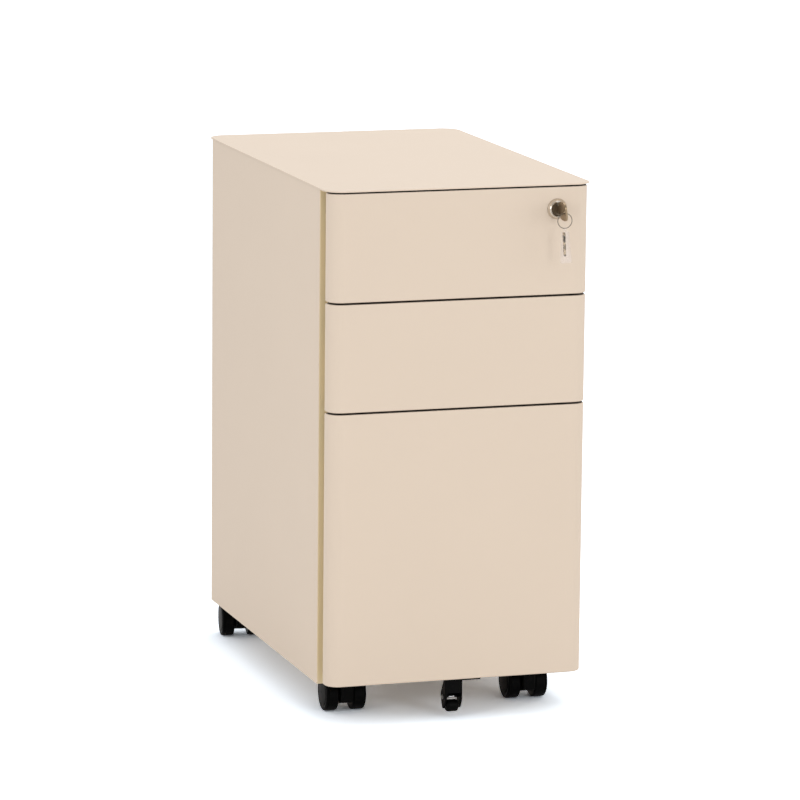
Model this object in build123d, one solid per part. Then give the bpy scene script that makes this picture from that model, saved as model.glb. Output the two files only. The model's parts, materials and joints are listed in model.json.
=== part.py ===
from build123d import *
import math
import os

os.makedirs("parts", exist_ok=True)

# Mobile pedestal: a slim steel cabinet on castors with two box drawers and one file drawer.
# Millimetres, +X to the right, +Y to the back, +Z up, the floor at Z = 0.
# The origin is on the floor, midway between the key's tip and the back of the top panel.

# Overall sizes
CASE_WIDTH = 300.0
TOP_DEPTH = 480.0
TOTAL_HEIGHT = 590.0

# Top panel, a flat sheet with four round corners that stands out a little all round
TOP_SHEET = 1.6
TOP_OVERHANG = 1.0
TOP_CORNER_R = 20.0
TOP_EDGE_R = 0.5

# Case, one sheet wrapped round both sides and the back
CASE_SHEET = 1.0
CASE_CORNER_R = 22.0
CASE_FOLD_R = 1.5
SKIRT_Z = 43.5
LIP_DEPTH = 6.0
FLANGE_CLEARANCE = 1.0

# Base plate, a shallow pan open downwards
BASE_SHEET = 1.2
BASE_FLANGE = 7.5
BASE_COLLAR_WALL = 1.9
BASE_COLLAR_H = 2.8

# Drawer fronts: pans with round vertical edges, closed at the back by a liner
FRONT_INSET = 3.0
FRONT_SHEET = 1.0
FRONT_DEPTH = 20.0
FRONT_BEND_R = 15.0
FRONT_EDGE_R = 1.5
FRONT_LIFT = 46.0
FRONT_GAP = 2.0
TOP_GAP = 1.6
SMALL_FRONT_H = 118.0
FINGER_GAP = 13.0
LINER_SHEET = 1.0

# Drawer boxes
BOX_SHEET = 1.0
BOX_CORNER_R = 2.0
BOX_LIFT = 9.2
BOX_TOP_DROP = 38.8
BOX_REAR_SPACE = 38.0
BOX_FLANGE = 12.0
BASE_CLEARANCE = 6.8

# Ball slides of three nested members, drawn with a plain running gap for the balls
SLIDE_HEIGHT = 35.0
SLIDE_WIDTH = 12.7
SLIDE_SHEET = 1.2
SLIDE_GAP = 0.4
SLIDE_LIP_STEP = 0.8
SLIDE_FRONT_SPACE = 6.0
SLIDE_REAR_SPACE = 5.0
SLIDE_BELOW_BOX_TOP = 48.0
FILE_SLIDE_RISE = 130.0

# Slide carriers, upright channels on the inside of the case
CARRIER_DEPTH = 10.0
CARRIER_WIDTH = 30.0
CARRIER_SHEET = 1.2
CARRIER_FRONT_SPACE = 28.0
CARRIER_REAR_SPACE = 56.0
CARRIER_HOLE_R = 3.0
CARRIER_HOLE_PITCH = 32.0

# Front top rail, a cross channel under the top panel
RAIL_HEIGHT = 12.4
RAIL_SHEET = 1.2

# File rails, two cross strips that carry hanging files
FILE_RAIL_FRONT_SPACE = 54.0
FILE_RAIL_REAR_SPACE = 34.0
FILE_RAIL_HEIGHT = 14.0
FILE_RAIL_SHEET = 2.0
FILE_RAIL_HOOK = 7.0

# Lock in the top drawer's front
LOCK_INSET = 41.5
LOCK_DROP = 24.0
BEZEL_R = 11.2
BEZEL_FACE_R = 9.4
BEZEL_HEIGHT = 4.5
BEZEL_ROUND = 0.6
BEZEL_RIM = 1.9
BEZEL_RECESS = 1.6
BARREL_R = 9.0
BARREL_LENGTH = 30.0
BARREL_HOLE_CLEARANCE = 0.1
LINER_HOLE_CLEARANCE = 1.0
LOCK_NUT_AF = 24.0
LOCK_NUT_H = 4.0
PLUG_R = 6.5
PLUG_CLEARANCE = 0.06
PLUG_OVERHANG = 3.0
TAIL_SIZE = 5.0
TAIL_CLEARANCE = 0.05
CAM_R = 8.5
CAM_SHEET = 2.5
CAM_PIN_R = 2.0
CAM_THROW = 5.0
CAM_PIN_REST_ANGLE = 225.0
CAM_PIN_OVERREACH = 2.0

# Key in the lock, its ring, and the clear sleeve with the spare key
KEY_REACH = 30.0
KEY_TILT = 8.0
KEY_SHEET = 2.0
KEY_BLADE_H = 7.2
KEY_BLADE_IN = 22.0
KEY_NECK_H = 9.0
KEY_NECK_LENGTH = 3.0
KEY_STANDOFF = 1.5
KEY_BOW_H = 20.6
KEY_BOW_CORNER_R = 7.0
KEY_HOLE_R = 2.3
KEY_HOLE_SETBACK = 4.6
KEY_SLOT_CLEARANCE = 0.15
KEY_CUT_DEPTHS = (1.4, 0.8, 1.8, 1.1)
RING_OUTER_R = 8.5
RING_WIRE_R = 0.4
RING_SEAT_GAP = 0.5
SLEEVE_TOP_W = 7.4
SLEEVE_BOTTOM_W = 12.0
SLEEVE_LENGTH = 34.0
SLEEVE_DEPTH = 6.0
SLEEVE_WALL = 0.7
SLEEVE_TILT = 3.0
SLEEVE_LUG_H = 5.0
SLEEVE_LUG_SHEET = 2.4
SLEEVE_LUG_HOLE_R = 1.6
SPARE_LENGTH = 26.0
SPARE_HEAD_LENGTH = 7.0
SPARE_SHEET = 1.6
SPARE_BLADE_H = 4.4
SPARE_OFFSET = 1.2

# Lock bar, which rises behind the case's front flange and blocks every drawer's catch
BAR_SHEET = 2.0
BAR_WIDTH = 14.0
BAR_OFFSET = 4.0
BAR_FRONT_SPACE = 8.0
BAR_FOOT = 12.0
BAR_TAB_REACH = 12.0
BAR_TAB_H = 10.0
BAR_TAB_DROP = 1.5
BAR_ARM_H = 12.0
BAR_SLOT_PLAY = 0.45
BAR_SLOT_OVERRUN = 1.5
BAR_ARM_END = 4.0
GUIDE_SHEET = 1.0
GUIDE_CLEARANCE = 0.3
GUIDE_LIP = 3.5
GUIDE_HEIGHT = 20.0
GUIDE_DROPS = (90.0, 220.0)

# Catches on the drawer boxes
CATCH_SHEET = 1.5
CATCH_LUG_SHEET = 2.0
CATCH_REACH = 11.0
CATCH_HEIGHT = 12.0
CATCH_BELOW_BOX_TOP = 5.5
CATCH_BASE_LENGTH = 18.0
CATCH_PLAY = 1.0

# Castors with two wheels each
WHEEL_R = 20.0
WHEEL_WIDTH = 15.3
WHEEL_INNER_ROUND = 1.8
WHEEL_OUTER_ROUND = 2.2
WHEEL_DOME = 0.7
WHEEL_HUB_R = 14.6
WHEEL_GROOVE = 0.6
WHEEL_LINE_W = 0.9
WHEEL_LINE_DEPTH = 0.6
WHEEL_SIDE_GAP = 0.55
WHEEL_BORE_CLEARANCE = 0.06
WHEEL_BORE_DEPTH = 11.5
AXLE_R = 3.0
AXLE_END_GAP = 0.4
CASTOR_HEIGHT = 52.0
CASTOR_TRAIL = 18.0
HOUSING_WIDTH = 13.8
HOUSING_R = 13.0
HOUSING_CHAMFER = 0.8
HOUSING_NOSE = 6.0
HOUSING_NOSE_Z = 13.5
HOUSING_HUB_R = 8.0
HOUSING_HUB_STEP = 0.8
HOUSING_BOSS_R = 12.0
HOUSING_BOSS_H = 5.0
HOUSING_TOP_GAP = 0.5
KING_PIN_R = 4.0
KING_PIN_LENGTH = 15.5
KING_PIN_CLEARANCE = 0.06
KING_PIN_END_GAP = 0.5
HOUSING_HOLE_CLEARANCE = 0.02
PLATE_SIZE = 42.0
PLATE_SHEET = 2.5
PLATE_CORNER_R = 4.0
PLATE_HOLE_SPACING = 32.0
SCREW_R = 2.5
SCREW_HEAD_R = 4.2
SCREW_HEAD_H = 2.4
SCREW_CLEARANCE = 0.1
SCREW_HEAD_ROUND = 1.2
FRONT_CASTOR_INSET = 44.0
REAR_CASTOR_INSET = 31.5
FRONT_CASTOR_SETBACK = 65.0
REAR_CASTOR_SETBACK = 40.0
CASTOR_TURNS = {"front_left": -2.0, "front_right": -1.5, "rear_left": -7.6, "rear_right": 4.0}

# Fixed support castor under the file drawer, clear of the floor until the drawer tips forward
SUPPORT_WHEEL_R = 6.8
SUPPORT_WHEEL_WIDTH = 14.2
SUPPORT_WHEEL_LIFT = 6.5
SUPPORT_WHEEL_ROUND = 3.2
SUPPORT_AXLE_SETBACK = 16.5
SUPPORT_AXLE_R = 1.5
SUPPORT_AXLE_BLIND = 1.2
SUPPORT_SIDE_GAP = 0.9
SUPPORT_WALL = 2.0
SUPPORT_WALL_SETBACK = 5.5
SUPPORT_WALL_Z = 29.4
SUPPORT_REAR_WALL_Z = 20.9
SUPPORT_CORNER_R = 4.5
SUPPORT_CROWN_DEPTH = 8.5
SUPPORT_CROWN_H = 5.5
SUPPORT_NOSE_Z = 27.0
SUPPORT_FOOT_R = 2.8
SUPPORT_BOSS_R = 7.0
SUPPORT_BOSS_SETBACK = 17.5
SUPPORT_BOSS_Z = 24.5
SUPPORT_RIVET_R = 1.2
SUPPORT_RIVET_SETBACK = 17.0
SUPPORT_RIVET_GAP = 1.9
SUPPORT_RIVET_HEAD_R = 2.6
SUPPORT_RIVET_HEAD_H = 0.9
SUPPORT_PLATE_SHEET = 2.0
SUPPORT_PLATE_FRONT = 3.5
SUPPORT_PLATE_LEFT = 12.0
SUPPORT_PLATE_RIGHT = 29.0
SUPPORT_TAB_H = 13.0
SUPPORT_SCREW_R = 2.0
SUPPORT_SCREW_HEAD_R = 3.6
SUPPORT_SCREW_HEAD_H = 2.0
SUPPORT_SCREW_LENGTH = 6.0
SUPPORT_SCREW_INSET = 7.0

# Planes that several pieces share
FRONT_Y = (KEY_REACH - TOP_DEPTH) / 2
BACK_Y = FRONT_Y + TOP_DEPTH
CASE_BACK_Y = BACK_Y - TOP_OVERHANG
LINER_BACK_Y = FRONT_Y + FRONT_DEPTH
FLANGE_Y = LINER_BACK_Y + FINGER_GAP
FLANGE_BACK_Y = FLANGE_Y + CASE_SHEET
CASE_HALF = CASE_WIDTH / 2
CASE_INNER = CASE_HALF - CASE_SHEET
SLIDE_PLANE = CASE_INNER - CARRIER_DEPTH
BOX_HALF = SLIDE_PLANE - SLIDE_WIDTH
FLANGE_EDGE = SLIDE_PLANE + FLANGE_CLEARANCE
CASE_TOP_Z = TOTAL_HEIGHT - TOP_SHEET
BASE_Z = CASTOR_HEIGHT
BASE_TOP_Z = BASE_Z + BASE_SHEET
FRONT_HALF = CASE_HALF - FRONT_INSET
BOX_REAR_Y = CASE_BACK_Y - CASE_SHEET - BOX_REAR_SPACE
SLIDE_FRONT_Y = FLANGE_BACK_Y + SLIDE_FRONT_SPACE
SLIDE_REAR_Y = BOX_REAR_Y - SLIDE_REAR_SPACE

# Heights of the drawers, from the top down: front from and to, box floor, box top, slide centre
TOP_FRONT_HIGH = CASE_TOP_Z - TOP_GAP
TOP_FRONT_LOW = TOP_FRONT_HIGH - SMALL_FRONT_H
MIDDLE_FRONT_HIGH = TOP_FRONT_LOW - FRONT_GAP
MIDDLE_FRONT_LOW = MIDDLE_FRONT_HIGH - SMALL_FRONT_H
FILE_FRONT_HIGH = MIDDLE_FRONT_LOW - FRONT_GAP
FILE_BOX_LOW = BASE_TOP_Z + BASE_CLEARANCE
DRAWERS = {
    "top": (
        TOP_FRONT_LOW,
        TOP_FRONT_HIGH,
        TOP_FRONT_LOW + BOX_LIFT,
        TOP_FRONT_HIGH - BOX_TOP_DROP,
        TOP_FRONT_HIGH - BOX_TOP_DROP - SLIDE_BELOW_BOX_TOP,
    ),
    "middle": (
        MIDDLE_FRONT_LOW,
        MIDDLE_FRONT_HIGH,
        MIDDLE_FRONT_LOW + BOX_LIFT,
        MIDDLE_FRONT_HIGH - BOX_TOP_DROP,
        MIDDLE_FRONT_HIGH - BOX_TOP_DROP - SLIDE_BELOW_BOX_TOP,
    ),
    "file": (
        FRONT_LIFT,
        FILE_FRONT_HIGH,
        FILE_BOX_LOW,
        FILE_FRONT_HIGH - BOX_TOP_DROP,
        FILE_BOX_LOW + FILE_SLIDE_RISE,
    ),
}

# Lock axis, key ring and lock bar
LOCK_X = CASE_HALF - LOCK_INSET
LOCK_Z = TOP_FRONT_HIGH - LOCK_DROP
KEY_HOLE_Y = FRONT_Y - KEY_REACH + KEY_HOLE_SETBACK
RING_Z = LOCK_Z - KEY_HOLE_R + RING_SEAT_GAP + 2 * RING_WIRE_R - RING_OUTER_R
BAR_X = SLIDE_PLANE + BAR_OFFSET
BAR_Y = FLANGE_BACK_Y + BAR_FRONT_SPACE
CATCH_Y = BAR_Y + BAR_SHEET + CATCH_PLAY
PIN_X = LOCK_X + CAM_THROW * math.cos(math.radians(CAM_PIN_REST_ANGLE))
PIN_Z = LOCK_Z + CAM_THROW * math.sin(math.radians(CAM_PIN_REST_ANGLE))

# Castor places: stem axis in X and Y, turned about Z
CASTOR_PLACES = {
    "front_left": (-CASE_HALF + FRONT_CASTOR_INSET, FRONT_Y + FRONT_CASTOR_SETBACK),
    "front_right": (CASE_HALF - FRONT_CASTOR_INSET, FRONT_Y + FRONT_CASTOR_SETBACK),
    "rear_left": (-CASE_HALF + REAR_CASTOR_INSET, BACK_Y - REAR_CASTOR_SETBACK),
    "rear_right": (CASE_HALF - REAR_CASTOR_INSET, BACK_Y - REAR_CASTOR_SETBACK),
}


def block(x, y, z):
    """A box given by its low and high values along X, Y and Z."""
    size = Box(x[1] - x[0], y[1] - y[0], z[1] - z[0])
    return Pos((x[0] + x[1]) / 2, (y[0] + y[1]) / 2, (z[0] + z[1]) / 2) * size


def rounded(points, radii):
    """A closed outline with its own radius at each corner."""
    face = make_face(Polyline(*points, close=True))
    for point, radius in zip(points, radii):
        if radius > 0:
            corner = face.vertices().sort_by_distance(Vector(*point))[0]
            face = fillet(corner, radius)
    return face


def along_x(face, low, high):
    """A face drawn in Y and Z, extruded along X from low to high."""
    return Pos(low, 0, 0) * extrude(Plane.YZ * face, high - low)


def along_y(face, low, high):
    """A face drawn in X and Z, extruded along Y from low to high."""
    return Pos(0, high, 0) * extrude(Plane.XZ * face, high - low)


def rod_y(x, z, radius, low, high):
    """A round rod along Y."""
    return along_y(Pos(x, z) * Circle(radius), low, high)


def rod_x(y, z, radius, low, high):
    """A round rod along X."""
    return along_x(Pos(y, z) * Circle(radius), low, high)


def rod_z(x, y, radius, low, high):
    """A round rod along Z."""
    return Pos(x, y, low) * extrude(Circle(radius), high - low)


def both_sides(piece):
    """The piece on the right side and its mirror image on the left."""
    return [piece, mirror(piece, about=Plane.YZ)]


# Case

def case_plan(inset):
    """Plan of the wrapped case, moved inwards by inset."""
    half = CASE_HALF - inset
    front = FLANGE_Y + inset
    back = CASE_BACK_Y - inset
    fold = max(CASE_FOLD_R - inset, 0)
    corner = max(CASE_CORNER_R - inset, 0)
    outline = [(-half, front), (half, front), (half, back), (-half, back)]
    return rounded(outline, [fold, fold, corner, corner])


def case_wrap():
    height = CASE_TOP_Z - SKIRT_Z
    shell = extrude(case_plan(0), height) - extrude(case_plan(CASE_SHEET), height)
    shell = Pos(0, 0, SKIRT_Z) * shell
    mouth = block((-FLANGE_EDGE, FLANGE_EDGE), (FLANGE_Y - 1, FLANGE_BACK_Y + 1), (0, TOTAL_HEIGHT))
    shell = shell - mouth
    lip = block(
        (FLANGE_EDGE, FLANGE_EDGE + CASE_SHEET),
        (FLANGE_BACK_Y - CASE_SHEET, FLANGE_BACK_Y + LIP_DEPTH),
        (BASE_TOP_Z + FLANGE_CLEARANCE, CASE_TOP_Z),
    )
    for side in both_sides(lip):
        shell = shell + side
    rim = Pos(0, 0, CASE_TOP_Z - CASE_SHEET) * extrude(case_plan(CASE_SHEET), CASE_SHEET)
    rim_inner_y = CASE_BACK_Y - CASE_SHEET - CARRIER_DEPTH
    hole_z = (CASE_TOP_Z - 2 * CASE_SHEET, TOTAL_HEIGHT)
    hole = block((-SLIDE_PLANE, SLIDE_PLANE), (FLANGE_Y, rim_inner_y), hole_z)
    return shell + (rim - hole)


def top_panel():
    half = CASE_HALF + TOP_OVERHANG
    outline = [(-half, FRONT_Y), (half, FRONT_Y), (half, BACK_Y), (-half, BACK_Y)]
    sheet = Pos(0, 0, CASE_TOP_Z) * extrude(rounded(outline, [TOP_CORNER_R] * 4), TOP_SHEET)
    return fillet(sheet.faces().sort_by(Axis.Z)[-1].edges(), TOP_EDGE_R)


def base_plate():
    low = BASE_Z - BASE_FLANGE
    pan = Pos(0, 0, low) * extrude(case_plan(CASE_SHEET), BASE_FLANGE + BASE_SHEET)
    pan = pan - Pos(0, 0, low) * extrude(case_plan(CASE_SHEET + BASE_SHEET), BASE_FLANGE)
    collar_r = SCREW_R + SCREW_CLEARANCE + BASE_COLLAR_WALL
    for x, y in castor_screw_places():
        pan = pan + rod_z(x, y, collar_r, BASE_Z, BASE_TOP_Z + BASE_COLLAR_H)
    for x, y in castor_screw_places():
        pan = pan - rod_z(x, y, SCREW_R + SCREW_CLEARANCE, BASE_Z, BASE_TOP_Z + BASE_COLLAR_H)
    return pan


def slide_carriers():
    """The front and rear upright channels on the right side."""
    front_y = FLANGE_BACK_Y + CARRIER_FRONT_SPACE
    rear_y = CASE_BACK_Y - CASE_SHEET - CARRIER_REAR_SPACE - CARRIER_WIDTH
    high = CASE_TOP_Z - CASE_SHEET
    carriers = []
    for low_y in (front_y, rear_y):
        high_y = low_y + CARRIER_WIDTH
        channel = block((SLIDE_PLANE, CASE_INNER), (low_y, high_y), (BASE_TOP_Z, high))
        hollow = block(
            (SLIDE_PLANE + CARRIER_SHEET, CASE_INNER),
            (low_y + CARRIER_SHEET, high_y - CARRIER_SHEET),
            (BASE_TOP_Z, high),
        )
        channel = channel - hollow
        holes = int((high - BASE_TOP_Z - CARRIER_HOLE_PITCH) // CARRIER_HOLE_PITCH)
        for step in range(1, holes + 1):
            hole_z = BASE_TOP_Z + step * CARRIER_HOLE_PITCH
            web_x = (SLIDE_PLANE, SLIDE_PLANE + CARRIER_SHEET)
            channel = channel - rod_x((low_y + high_y) / 2, hole_z, CARRIER_HOLE_R, *web_x)
        carriers.append(channel)
    return carriers


def front_top_rail():
    low_y = FLANGE_BACK_Y + CARRIER_FRONT_SPACE
    high_y = low_y + CARRIER_WIDTH
    low_z = CASE_TOP_Z - RAIL_HEIGHT
    channel = block((-SLIDE_PLANE, SLIDE_PLANE), (low_y, high_y), (low_z, CASE_TOP_Z))
    hollow = block(
        (-SLIDE_PLANE, SLIDE_PLANE),
        (low_y + RAIL_SHEET, high_y - RAIL_SHEET),
        (low_z, CASE_TOP_Z - RAIL_SHEET),
    )
    return channel - hollow


# Drawers

def front_plan(inset):
    """Plan of a drawer front's skin, moved inwards by inset."""
    half = FRONT_HALF - inset
    front = FRONT_Y + inset
    bend = max(FRONT_BEND_R - inset, 0)
    outline = [(-half, front), (half, front), (half, LINER_BACK_Y), (-half, LINER_BACK_Y)]
    return rounded(outline, [bend, bend, 0, 0])


def drawer_front(name):
    low, high = DRAWERS[name][0:2]
    pan = Pos(0, 0, low) * extrude(front_plan(0), high - low)
    ends = pan.faces().filter_by(Axis.Z)
    rims = [edge for face in ends for edge in face.edges() if edge.center().Y < LINER_BACK_Y - 0.1]
    pan = fillet(rims, FRONT_EDGE_R)
    hollow_h = high - low - 2 * FRONT_SHEET
    pan = pan - Pos(0, 0, low + FRONT_SHEET) * extrude(front_plan(FRONT_SHEET), hollow_h)
    if name == "top":
        skin_y = (FRONT_Y - 1, FRONT_Y + 2 * FRONT_SHEET)
        pan = pan - rod_y(LOCK_X, LOCK_Z, BARREL_R + BARREL_HOLE_CLEARANCE, *skin_y)
    return pan


def drawer_liner(name):
    low, high = DRAWERS[name][0:2]
    half = FRONT_HALF - FRONT_SHEET
    back = (LINER_BACK_Y - LINER_SHEET, LINER_BACK_Y)
    sheet = block((-half, half), back, (low + FRONT_SHEET, high - FRONT_SHEET))
    if name == "top":
        sheet = sheet - rod_y(LOCK_X, LOCK_Z, BARREL_R + LINER_HOLE_CLEARANCE, *back)
    if name == "file":
        for x, z in support_tab_screws():
            sheet = sheet - rod_y(x, z, SUPPORT_SCREW_R, *back)
    return sheet


def drawer_box(name):
    low, high = DRAWERS[name][2:4]
    half = BOX_HALF
    outline = [(-half, LINER_BACK_Y), (half, LINER_BACK_Y), (half, BOX_REAR_Y), (-half, BOX_REAR_Y)]
    body = Pos(0, 0, low) * extrude(rounded(outline, [0, 0, BOX_CORNER_R, BOX_CORNER_R]), high - low)
    inner = BOX_HALF - BOX_SHEET
    rear = BOX_REAR_Y - BOX_SHEET
    front = LINER_BACK_Y + BOX_SHEET
    hollow_outline = [(-inner, front), (inner, front), (inner, rear), (-inner, rear)]
    corner = BOX_CORNER_R - BOX_SHEET
    hollow = extrude(rounded(hollow_outline, [0, 0, corner, corner]), high - low)
    body = body - Pos(0, 0, low + BOX_SHEET) * hollow
    window = block(
        (-inner + BOX_FLANGE, inner - BOX_FLANGE),
        (LINER_BACK_Y, front),
        (low + BOX_FLANGE, high + 1),
    )
    return body - window


def channel(outer_x, depth, half_height):
    """A slide member's section in X and Z: a web at outer_x and two flanges reaching depth away."""
    direction = 1 if depth > 0 else -1
    web = outer_x + direction * SLIDE_SHEET
    end = outer_x + depth
    low = half_height - SLIDE_SHEET
    return [
        (outer_x, -half_height),
        (end, -half_height),
        (end, -low),
        (web, -low),
        (web, low),
        (end, low),
        (end, half_height),
        (outer_x, half_height),
    ]


def slide_members(name):
    """Outer, middle and inner members of the right slide."""
    centre_z = DRAWERS[name][4]
    half = SLIDE_HEIGHT / 2
    step = SLIDE_SHEET + SLIDE_GAP
    middle_x = SLIDE_PLANE - step
    inner_depth = SLIDE_WIDTH - 2 * step
    sections = {
        "outer": channel(SLIDE_PLANE, -(SLIDE_WIDTH - SLIDE_LIP_STEP - 2 * SLIDE_SHEET), half),
        "middle": channel(middle_x, -(SLIDE_WIDTH - step - 2 * SLIDE_SHEET), half - step),
        "inner": channel(BOX_HALF, inner_depth, half - 2 * step),
    }
    members = {}
    for member, section in sections.items():
        outline = make_face(Polyline(*section, close=True))
        members[member] = Pos(0, 0, centre_z) * along_y(outline, SLIDE_FRONT_Y, SLIDE_REAR_Y)
    return members


def drawer_catch(name):
    """A bent lug on the box's right wall that the lock bar's tab stands in front of when locked."""
    high_z = DRAWERS[name][3] - CATCH_BELOW_BOX_TOP
    span_z = (high_z - CATCH_HEIGHT, high_z)
    base = block((BOX_HALF, BOX_HALF + CATCH_SHEET), (CATCH_Y, CATCH_Y + CATCH_BASE_LENGTH), span_z)
    lug = block((BOX_HALF, BOX_HALF + CATCH_REACH), (CATCH_Y, CATCH_Y + CATCH_LUG_SHEET), span_z)
    return base + lug


def file_rails():
    """Two strips across the file box, hooked over its side walls."""
    top_z = DRAWERS["file"][3]
    inner = BOX_HALF - BOX_SHEET
    outer = BOX_HALF + FILE_RAIL_SHEET
    front_y = LINER_BACK_Y + FILE_RAIL_FRONT_SPACE
    rear_y = BOX_REAR_Y - FILE_RAIL_REAR_SPACE - FILE_RAIL_SHEET
    rails = []
    for low_y in (front_y, rear_y):
        span_y = (low_y, low_y + FILE_RAIL_SHEET)
        rail = block((-inner, inner), span_y, (top_z - FILE_RAIL_HEIGHT, top_z + FILE_RAIL_SHEET))
        hook = block((inner, outer), span_y, (top_z, top_z + FILE_RAIL_SHEET))
        hook = hook + block((BOX_HALF, outer), span_y, (top_z - FILE_RAIL_HOOK, top_z + FILE_RAIL_SHEET))
        for side in both_sides(hook):
            rail = rail + side
        rails.append(rail)
    return rails


# Lock and keys

def lock_barrel():
    body = rod_y(LOCK_X, LOCK_Z, BARREL_R, FRONT_Y, FRONT_Y + BARREL_LENGTH)
    profile = make_face(
        Polyline(
            (0, 0),
            (BEZEL_R, 0),
            (BEZEL_R, BEZEL_ROUND),
            (BEZEL_FACE_R, BEZEL_HEIGHT - BEZEL_ROUND),
            (BEZEL_FACE_R - BEZEL_ROUND, BEZEL_HEIGHT),
            (BEZEL_FACE_R - BEZEL_RIM, BEZEL_HEIGHT),
            (BEZEL_FACE_R - BEZEL_RIM, BEZEL_HEIGHT - BEZEL_RECESS),
            (0, BEZEL_HEIGHT - BEZEL_RECESS),
            close=True,
        )
    )
    bezel = Rot(90, 0, 0) * revolve(Plane.XZ * profile, Axis.Z)
    bezel = Pos(LOCK_X, FRONT_Y, LOCK_Z) * bezel
    bore = rod_y(LOCK_X, LOCK_Z, PLUG_R + PLUG_CLEARANCE, FRONT_Y - BEZEL_HEIGHT, FRONT_Y + BARREL_LENGTH)
    return body + bezel - bore


def lock_nut():
    low = FRONT_Y + FRONT_SHEET
    hexagon = RegularPolygon(LOCK_NUT_AF / 2, 6, major_radius=False)
    nut = along_y(Pos(LOCK_X, LOCK_Z) * hexagon, low, low + LOCK_NUT_H)
    return nut - rod_y(LOCK_X, LOCK_Z, BARREL_R, low, low + LOCK_NUT_H)


def about_lock(piece, angle):
    """The piece turned about the lock's axis, with its top leaning left as the angle grows."""
    return Pos(LOCK_X, 0, LOCK_Z) * Rot(0, -angle, 0) * Pos(-LOCK_X, 0, -LOCK_Z) * piece


def lock_plug():
    face_y = FRONT_Y - BEZEL_HEIGHT + BEZEL_RECESS
    rear_y = FRONT_Y + BARREL_LENGTH + PLUG_OVERHANG
    core = rod_y(LOCK_X, LOCK_Z, PLUG_R, face_y, rear_y)
    slot_half = KEY_SHEET / 2 + KEY_SLOT_CLEARANCE
    slot_h = KEY_BLADE_H / 2 + KEY_SLOT_CLEARANCE
    slot = block(
        (LOCK_X - slot_half, LOCK_X + slot_half),
        (face_y, face_y + KEY_BLADE_IN + 1),
        (LOCK_Z - slot_h, LOCK_Z + slot_h),
    )
    tail = Pos(LOCK_X, LOCK_Z) * (Rot(0, 0, CAM_PIN_REST_ANGLE) * Rectangle(TAIL_SIZE, TAIL_SIZE))
    return core - about_lock(slot, KEY_TILT) + along_y(tail, rear_y, rear_y + CAM_SHEET)


def lock_cam():
    low = FRONT_Y + BARREL_LENGTH + PLUG_OVERHANG
    disc = rod_y(LOCK_X, LOCK_Z, CAM_R, low, low + CAM_SHEET)
    hole_size = TAIL_SIZE + 2 * TAIL_CLEARANCE
    hole = Pos(LOCK_X, LOCK_Z) * (Rot(0, 0, CAM_PIN_REST_ANGLE) * Rectangle(hole_size, hole_size))
    disc = disc - along_y(hole, low, low + CAM_SHEET)
    pin_end = BAR_Y + BAR_SHEET + CAM_PIN_OVERREACH
    return disc + rod_y(PIN_X, PIN_Z, CAM_PIN_R, low, pin_end)


def key_blade(tip, root, height, cuts):
    """A blade's outline along Y and Z, from its tip back to its root, with its cuts on top."""
    half = height / 2
    pitch = (tip - root) / (len(cuts) + 1.5)
    points = [(root, -half), (tip - half / 2, -half), (tip, -half / 2)]
    for index, depth in enumerate(cuts):
        peak = tip - pitch * (index + 0.5)
        points.append((peak, half))
        points.append((peak - pitch / 2, half - depth))
    points.append((tip - pitch * (len(cuts) + 0.5), half))
    points.append((root, half))
    return make_face(Polyline(*points, close=True))


def key():
    face_y = FRONT_Y - BEZEL_HEIGHT + BEZEL_RECESS
    tip = face_y + KEY_BLADE_IN
    bow_rear = FRONT_Y - BEZEL_HEIGHT - KEY_STANDOFF - KEY_NECK_LENGTH
    bow_front = FRONT_Y - KEY_REACH
    half = KEY_BOW_H / 2
    bow_outline = [(bow_front, -half), (bow_rear, -half), (bow_rear, half), (bow_front, half)]
    bow = rounded(bow_outline, [KEY_BOW_CORNER_R] * 4)
    bow = bow - Pos(KEY_HOLE_Y, 0) * Circle(KEY_HOLE_R)
    neck_rear = FRONT_Y - BEZEL_HEIGHT - KEY_STANDOFF
    neck_half = KEY_NECK_H / 2
    neck = make_face(
        Polyline(
            (bow_rear - 1, -neck_half),
            (neck_rear, -neck_half),
            (neck_rear, neck_half),
            (bow_rear - 1, neck_half),
            close=True,
        )
    )
    outline = bow + neck + key_blade(tip, neck_rear - 1, KEY_BLADE_H, KEY_CUT_DEPTHS)
    plate = along_x(outline, -KEY_SHEET / 2, KEY_SHEET / 2)
    return about_lock(Pos(LOCK_X, 0, LOCK_Z) * plate, KEY_TILT)


def key_ring():
    wire = Torus(RING_OUTER_R - RING_WIRE_R, RING_WIRE_R)
    return Pos(LOCK_X, KEY_HOLE_Y, RING_Z) * Rot(90, 0, 0) * wire


def hung_from_ring(piece):
    """Moves a piece drawn below the origin to the ring's lowest point, leaning with its weight."""
    low_z = RING_Z - RING_OUTER_R + RING_WIRE_R
    return Pos(LOCK_X, KEY_HOLE_Y, low_z) * Rot(0, -SLEEVE_TILT, 0) * piece


def sleeve_tube(inset):
    """The sleeve's outline in X and Z, narrow at the top, extruded along Y."""
    top_z = SLEEVE_LUG_HOLE_R - RING_WIRE_R - SLEEVE_LUG_H
    top = SLEEVE_TOP_W / 2 - inset
    bottom = SLEEVE_BOTTOM_W / 2 - inset
    low_z = top_z - SLEEVE_LENGTH
    points = [(-top, top_z - inset), (-bottom, low_z), (bottom, low_z), (top, top_z - inset)]
    half = SLEEVE_DEPTH / 2 - inset
    return along_y(make_face(Polyline(*points, close=True)), -half, half)


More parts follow.
